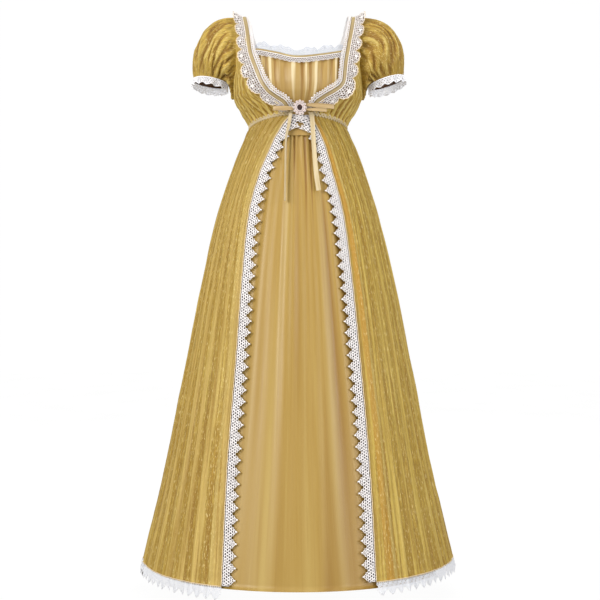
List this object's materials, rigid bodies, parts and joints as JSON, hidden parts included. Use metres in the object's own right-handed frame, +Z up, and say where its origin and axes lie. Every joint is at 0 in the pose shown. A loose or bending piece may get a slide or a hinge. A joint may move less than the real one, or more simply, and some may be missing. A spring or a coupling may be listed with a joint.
{
  "type": "regency open-front gown with puff sleeves and satin front insert",
  "caption": "High-waisted floor-length gown with short puff sleeves, a pleated satin front insert, lace-edged open skirt, ribbon bow and brooch.",
  "frame": {"origin": "midway between the tops of the two shoulder straps, where they rest on the shoulders", "axes": "+Z up, -Y out of the gown's front, +X towards the wearer's left"},
  "size_m": [0.7825, 0.684, 1.4025],
  "materials": {
    "robe_cloth": "crinkled gold stripe cloth with metallic threads",
    "satin": "plain gold satin",
    "lace": "white cotton lace",
    "ribbon": "khaki gold satin ribbon",
    "brooch_metal": "polished pierced metal",
    "stone": "dark cut stone"
  },
  "bodies": {
    "root": {"bodice_front_left": "robe_cloth", "bodice_front_right": "robe_cloth", "bodice_back_left": "robe_cloth", "bodice_back_right": "robe_cloth", "sleeve_left": "robe_cloth", "sleeve_right": "robe_cloth", "skirt_front_left": "robe_cloth", "skirt_front_right": "robe_cloth", "skirt_back_left": "robe_cloth", "skirt_back_right": "robe_cloth", "insert_bodice": "satin", "insert_waistband": "satin", "insert_skirt": "satin", "neck_binding": "satin", "cuff_band_left": "satin", "cuff_band_right": "satin", "neck_lace_band": "lace", "neck_frill": "lace", "ruffle_left": "lace", "ruffle_right": "lace", "ruffle_back": "lace", "inner_lace_left": "lace", "inner_lace_right": "lace", "inner_lace_back": "lace", "cuff_lace_left": "lace", "cuff_lace_right": "lace", "front_lace_left": "lace", "front_lace_right": "lace", "hem_lace_left": "lace", "hem_lace_right": "lace", "hem_lace_back_left": "lace", "hem_lace_back_right": "lace", "neck_ribbon_left": "ribbon", "neck_ribbon_right": "ribbon", "neck_ribbon_back": "ribbon", "waist_braid_left": "ribbon", "waist_braid_right": "ribbon", "waist_braid_back": "ribbon", "bow_knot": "ribbon", "bow_loop_left": "ribbon", "bow_loop_right": "ribbon", "bow_loop_small": "ribbon", "bow_tail_left": "ribbon", "bow_tail_right": "ribbon", "brooch": "brooch_metal", "brooch_stone": "stone"}
  },
  "joints": []
}
